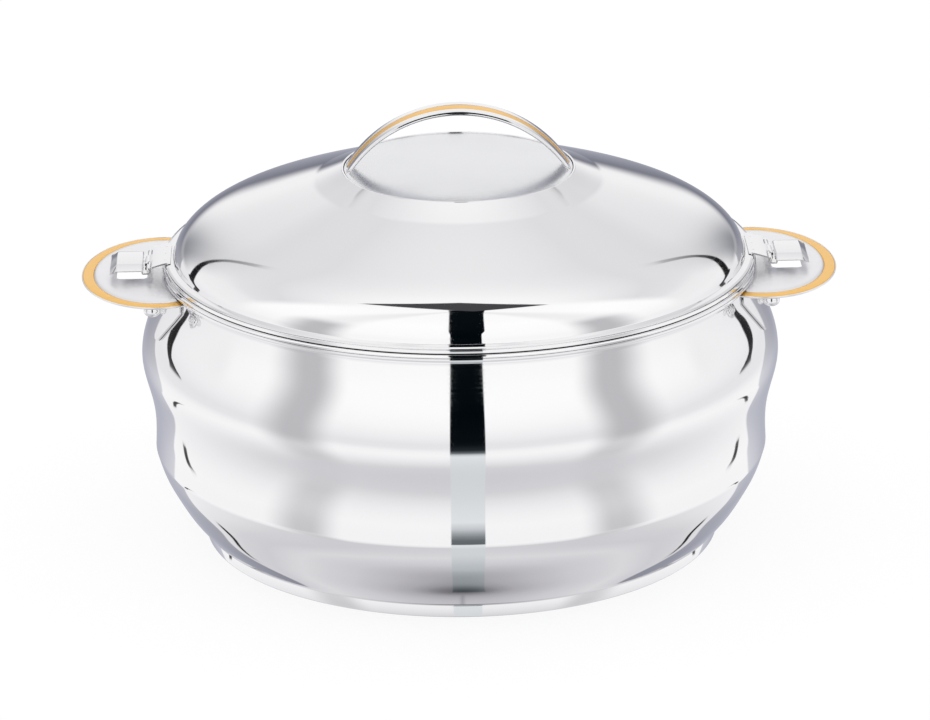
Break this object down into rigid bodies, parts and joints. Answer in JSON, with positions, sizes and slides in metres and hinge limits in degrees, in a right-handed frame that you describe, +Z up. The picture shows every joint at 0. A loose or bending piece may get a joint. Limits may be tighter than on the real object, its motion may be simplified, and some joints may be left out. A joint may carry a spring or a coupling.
{
  "type": "insulated food casserole",
  "caption": "Round double-walled steel casserole with a lift-off insulated lid, an arched lid handle, side handle plates and a hinged latch over each.",
  "frame": {"origin": "centre of the foot ring's underside, on the surface it stands on", "axes": "+X from the left side handle to the right one, -Y towards the front, +Z up"},
  "size_m": [0.3556, 0.3014, 0.2068],
  "materials": {
    "mirror_steel": "polished",
    "satin_steel": "satin",
    "gold_steel": "gloss",
    "foam": "matte"
  },
  "bodies": {
    "body": {"foot_ring": "mirror_steel", "base_plate": "satin_steel", "outer_shell": "mirror_steel", "inner_bowl": "satin_steel", "body_insulation": "foam", "rim_band": "mirror_steel", "left_handle_plate": "mirror_steel", "right_handle_plate": "mirror_steel", "left_handle_trim": "gold_steel", "right_handle_trim": "gold_steel", "left_handle_bracket": "mirror_steel", "right_handle_bracket": "mirror_steel"},
    "lid": {"lid_dome": "mirror_steel", "lid_liner": "satin_steel", "lid_insulation": "foam", "lid_handle": "mirror_steel", "lid_handle_inlay": "gold_steel", "lid_top_disc": "mirror_steel", "left_latch_leaf": "mirror_steel", "right_latch_leaf": "mirror_steel", "left_hinge_pin": "mirror_steel", "right_hinge_pin": "mirror_steel"},
    "left_latch": {"left_latch_lever": "mirror_steel", "left_catch_spring": "satin_steel"},
    "right_latch": {"right_latch_lever": "mirror_steel", "right_catch_spring": "satin_steel"}
  },
  "joints": [
    {"name": "lid_lift", "type": "slide", "parent": "body", "child": "lid", "axis": [0, 0, 1], "range_m": [0, 0.15]},
    {"name": "left_latch_hinge", "type": "hinge", "parent": "lid", "child": "left_latch", "pos_m": [-0.1462, 0, 0.1332], "axis": [0, 1, 0], "range_deg": [0, 95]},
    {"name": "right_latch_hinge", "type": "hinge", "parent": "lid", "child": "right_latch", "pos_m": [0.1462, 0, 0.1332], "axis": [0, -1, 0], "range_deg": [0, 95]}
  ]
}
